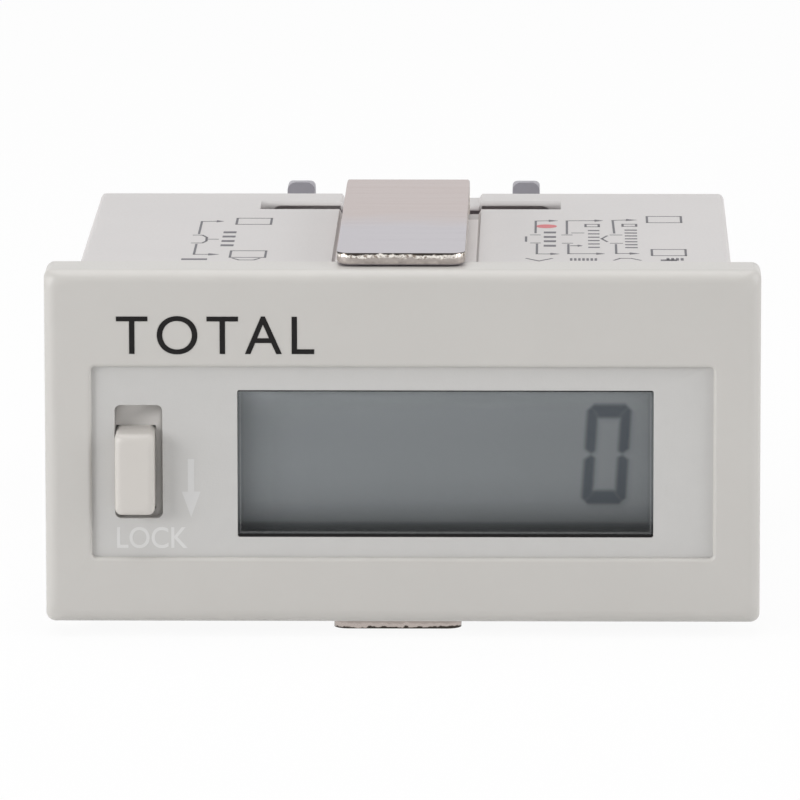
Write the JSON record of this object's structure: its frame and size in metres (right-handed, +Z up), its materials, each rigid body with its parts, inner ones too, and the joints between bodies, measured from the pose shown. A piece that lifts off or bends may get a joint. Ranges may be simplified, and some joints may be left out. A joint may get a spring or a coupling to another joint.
{
  "type": "panel counter",
  "caption": "Flush-mounted totalising counter with a liquid crystal display, a locking reset key, steel panel clips and rear screw terminals.",
  "frame": {"origin": "middle of the panel seat, the flat ring behind the bezel that lies on the panel", "axes": "+X to the right as seen from the front, +Y back through the panel, +Z up"},
  "size_m": [0.048, 0.0553, 0.026],
  "materials": {
    "bezel_plastic": "moulded, soft gloss",
    "face_plastic": "fine spark-textured",
    "case_plastic": "moulded, soft gloss",
    "window_plastic": "clear smoked pane",
    "display_glass": "display glass",
    "reflector_film": "satin film",
    "holder_plastic": "moulded",
    "strip_rubber": "layered silicone",
    "slider_plastic": "moulded",
    "key_plastic": "moulded",
    "spring_steel": "drawn wire",
    "contact_rubber": "carbon-filled",
    "board_laminate": "solder-masked laminate",
    "screw_steel": "zinc plated",
    "chip_resin": "poured resin",
    "tinned_metal": "tinned",
    "ceramic_body": "fired",
    "cell_sleeve": "shrink sleeve",
    "capacitor_sleeve": "shrink sleeve",
    "block_plastic": "moulded",
    "terminal_brass": "nickel plated",
    "clip_steel": "nickel plated, sheared edges"
  },
  "bodies": {
    "case": {"front_bezel": "bezel_plastic", "face_plate": "face_plastic", "display_window": "window_plastic", "lcd_front_glass": "display_glass", "lcd_rear_glass": "display_glass", "lcd_reflector": "reflector_film", "lcd_holder": "holder_plastic", "upper_contact_strip": "strip_rubber", "lower_contact_strip": "strip_rubber", "circuit_board": "board_laminate", "board_screws": "screw_steel", "counter_chip": "chip_resin", "quartz_crystal": "tinned_metal", "chip_resistors": "chip_resin", "chip_capacitors": "ceramic_body", "battery_cell": "cell_sleeve", "battery_tabs": "tinned_metal", "link_pins": "tinned_metal", "input_board": "board_laminate", "input_coupler": "chip_resin", "input_capacitor": "capacitor_sleeve", "rear_case": "case_plastic", "terminal_block": "block_plastic", "terminal_plates": "terminal_brass", "clamp_washers": "screw_steel", "terminal_screws": "screw_steel"},
    "lock_slider": {"lock_slider": "slider_plastic"},
    "reset_key": {"reset_key": "key_plastic", "key_spring": "spring_steel", "contact_puck": "contact_rubber"},
    "upper_clip": {"upper_clip": "clip_steel"},
    "lower_clip": {"lower_clip": "clip_steel"}
  },
  "joints": [
    {"name": "lock_slide", "type": "slide", "parent": "case", "child": "lock_slider", "axis": [0, 0, 1], "range_m": [0, 0.00135]},
    {"name": "reset_press", "type": "slide", "parent": "lock_slider", "child": "reset_key", "axis": [0, 1, 0], "range_m": [0, 0.0008], "stiffness_N_per_m": 200, "springref_m": -0.001, "deforming": ["key_spring"]},
    {"name": "upper_clip_slide", "type": "slide", "parent": "case", "child": "upper_clip", "axis": [0, 1, 0], "range_m": [0, 0.0016]},
    {"name": "lower_clip_slide", "type": "slide", "parent": "case", "child": "lower_clip", "axis": [0, 1, 0], "range_m": [-0.0014, 0.0002]}
  ]
}
